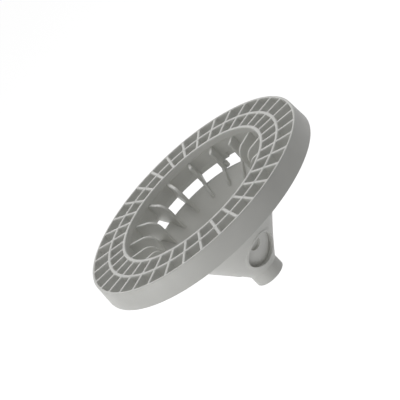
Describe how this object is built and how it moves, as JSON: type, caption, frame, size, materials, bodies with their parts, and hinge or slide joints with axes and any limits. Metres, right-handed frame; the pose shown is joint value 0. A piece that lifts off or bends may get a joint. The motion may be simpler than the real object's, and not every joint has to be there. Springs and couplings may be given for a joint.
{
  "type": "dishwasher strainer",
  "caption": "Round one-piece plastic strainer: a ring of open cells carries a funnel on radial fins, with a tubular spigot below.",
  "frame": {"origin": "centre of the spigot's end face, on the strainer's axis", "axes": "+Z along the axis, from the spigot up to the top of the ring; +X through a point between two bars"},
  "size_m": [0.1216, 0.1216, 0.056],
  "materials": {
    "body": "satin moulded plastic, light warm grey"
  },
  "bodies": {
    "root": {"strainer": "body"}
  },
  "joints": []
}
